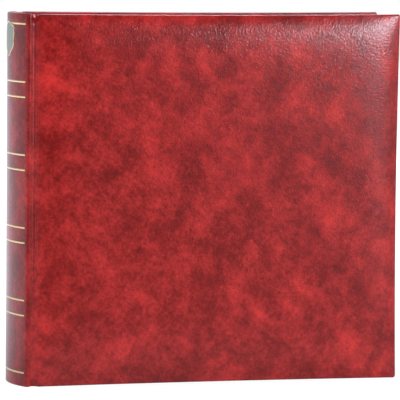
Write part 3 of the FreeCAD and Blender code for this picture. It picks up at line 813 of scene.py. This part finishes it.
# Painted glow seen only in mirrored rays: bright to the front right, rear left and near the album
rightwards = add(tree, "ShaderNodeVectorMath", {0: place, 1: TO_THE_RIGHT}, operation="DOT_PRODUCT")
right_glow = add(tree, "ShaderNodeMapRange", {
    "Value": rightwards.outputs["Value"], "From Min": -0.2, "From Max": 0.3, "To Min": 0.02, "To Max": 0.55})
depth = add(tree, "ShaderNodeSeparateXYZ", {"Vector": place})
in_front = add(tree, "ShaderNodeMapRange", {
    "Value": depth.outputs["Y"], "From Min": -0.6, "From Max": 0.0, "To Min": 1.0, "To Max": 0.05})
front_glow = add(tree, "ShaderNodeMath", {
    0: right_glow.outputs["Result"], 1: in_front.outputs["Result"]}, operation="MULTIPLY")
leftwards = add(tree, "ShaderNodeVectorMath", {0: place, 1: TO_THE_REAR_LEFT}, operation="DOT_PRODUCT")
left_glow = add(tree, "ShaderNodeMapRange", {
    "Value": leftwards.outputs["Value"], "From Min": -0.2, "From Max": 0.6, "To Min": 0.02, "To Max": 1.15})
far_glow = add(tree, "ShaderNodeMath", {
    0: front_glow.outputs[0], 1: left_glow.outputs["Result"]}, operation="MAXIMUM")
away = add(tree, "ShaderNodeVectorMath", {0: place}, operation="LENGTH")
near_glow = add(tree, "ShaderNodeMapRange", {
    "Value": away.outputs["Value"], "From Min": 0.2, "From Max": 0.5, "To Min": 0.5, "To Max": 0.02})
lit = add(tree, "ShaderNodeMath", {
    0: far_glow.outputs[0], 1: near_glow.outputs["Result"]}, operation="MAXIMUM")
share = add(tree, "ShaderNodeMath", {0: mirrored.outputs[0], 1: lit.outputs[0]}, operation="MULTIPLY")
bleached = add(tree, "ShaderNodeMapRange", {
    "Value": away.outputs["Value"], "From Min": 0.25, "From Max": 0.8, "To Min": 0.87, "To Max": 1.0})
white = add(tree, "ShaderNodeMath", {
    0: ray.outputs["Is Camera Ray"], 1: bleached.outputs["Result"]}, operation="MULTIPLY")
shaded = add(tree, "ShaderNodeBsdfDiffuse", {"Color": linear("#8c8c8c")})
backdrop = add(tree, "ShaderNodeEmission", {"Color": linear("#ffffff"), "Strength": white.outputs[0]})
# Painted reflection: a cool white glow on the floor that only mirrored rays see
painted_reflection_glow = add(tree, "ShaderNodeEmission", {"Color": linear(COOL_WHITE), "Strength": share.outputs[0]})
glow = add(tree, "ShaderNodeAddShader", {0: backdrop.outputs[0], 1: painted_reflection_glow.outputs[0]})
bright = add(tree, "ShaderNodeAddShader", {0: shaded.outputs[0], 1: glow.outputs[0]})
both = add(tree, "ShaderNodeMixShader", {0: seen.outputs[0], 1: surface.outputs[0], 2: bright.outputs[0]})
tree.links.new(both.outputs[0], tree.nodes["Material Output"].inputs["Surface"])
floor = new_piece("floor", [
    (-FLOOR_HALF, -FLOOR_HALF, 0), (FLOOR_HALF, -FLOOR_HALF, 0), (FLOOR_HALF, FLOOR_HALF, 0),
    (-FLOOR_HALF, FLOOR_HALF, 0)], [(0, 1, 2, 3)], floor_paint)

# The walls are bright behind and to the right, and the ceiling is dim
world = bpy.data.worlds.new("studio")
bpy.context.scene.world = world
world.use_nodes = True
tree = world.node_tree
direction = add(tree, "ShaderNodeTexCoord").outputs["Generated"]
towards = add(tree, "ShaderNodeSeparateXYZ", {"Vector": direction})
behind = add(tree, "ShaderNodeMapRange", {
    "Value": towards.outputs["Y"], "From Min": -0.7, "From Max": 0.2, "To Min": 0.08, "To Max": 0.7})
right = add(tree, "ShaderNodeMapRange", {
    "Value": towards.outputs["X"], "From Min": 0.3, "From Max": 0.5, "To Min": 0.08, "To Max": 0.9})
walls = add(tree, "ShaderNodeMath", {
    0: behind.outputs["Result"], 1: right.outputs["Result"]}, operation="MAXIMUM")
ceiling = add(tree, "ShaderNodeMapRange", {
    "Value": towards.outputs["Z"], "From Min": 0.25, "From Max": 0.6, "To Min": 1.0, "To Max": 0.12})
room = add(tree, "ShaderNodeMath", {
    0: walls.outputs[0], 1: ceiling.outputs["Result"]}, operation="MULTIPLY")
ray = add(tree, "ShaderNodeLightPath")
level = add(tree, "ShaderNodeMath", {
    0: room.outputs[0], 1: ray.outputs["Is Camera Ray"]}, operation="MAXIMUM")
tone = add(tree, "ShaderNodeMix", {
    "Factor": ray.outputs["Is Camera Ray"], "A": linear(COOL_WHITE), "B": linear("#ffffff")},
    data_type="RGBA")
feed(tree, tree.nodes["Background"], {"Color": tone.outputs["Result"], "Strength": level.outputs[0]})


def soft_box(name, place, aim, size, power):
    """An area lamp, with its place, aim and size in metres and its power in watts."""
    lamp = bpy.data.lights.new(name, "AREA")
    lamp.shape = "RECTANGLE"
    lamp.size, lamp.size_y = size
    lamp.energy = power
    lamp.color = linear(COOL_WHITE)[:3]
    box = bpy.data.objects.new(name, lamp)
    box.location = place
    box.rotation_euler = (Vector(aim) - Vector(place)).to_track_quat("-Z", "Y").to_euler()
    bpy.context.scene.collection.objects.link(box)
    return box


soft_box("key_soft_box", place=(1.5, -2.73, 0.8), aim=(0.15, 0, 0.28), size=(0.58, 0.58), power=38)
fill = soft_box("fill_soft_box", place=(-1.4, -2.7, 1.4), aim=(0, 0, 0.15), size=(1.4, 1.4), power=62)
fill.visible_glossy = False
rear = soft_box("rear_soft_box", place=(1.4, 2.7, 1.2), aim=(0, 0, 0.15), size=(1.4, 1.4), power=55)
rear.visible_glossy = False
soft_box("top_soft_box", place=(0, 0.4, 3.0), aim=(0, 0, 0.3), size=(1.6, 1.6), power=42)
strip = soft_box("edge_strip_box", place=(0.3, -0.25, 1.7), aim=(0.0, 0, 0.3), size=(1.2, 0.3), power=22)
strip.visible_diffuse = False

# Camera
# The photograph's place: a long lens, a little to the left and a little above.
CAMERA_PLACE = Vector((-746.6, -2810.0, 393.2))
CAMERA_YAW = math.radians(14.884)
CAMERA_PITCH = math.radians(4.754)
CAMERA_ROLL = math.radians(0.56)
camera_data = bpy.data.cameras.new("camera")
camera_data.sensor_width = 36.0
camera_data.lens = 309.65
camera_data.clip_end = 100.0
camera = bpy.data.objects.new("camera", camera_data)
bpy.context.scene.collection.objects.link(camera)
aim = Vector((math.sin(CAMERA_YAW) * math.cos(CAMERA_PITCH), math.cos(CAMERA_YAW) * math.cos(CAMERA_PITCH),
              -math.sin(CAMERA_PITCH)))
camera.matrix_world = (Matrix.Translation(CAMERA_PLACE * MM)
                       @ aim.to_track_quat("-Z", "Y").to_matrix().to_4x4()
                       @ Matrix.Rotation(CAMERA_ROLL, 4, "Z"))
bpy.context.scene.camera = camera
bpy.context.scene.view_settings.view_transform = "Standard"

bpy.context.view_layer.update()
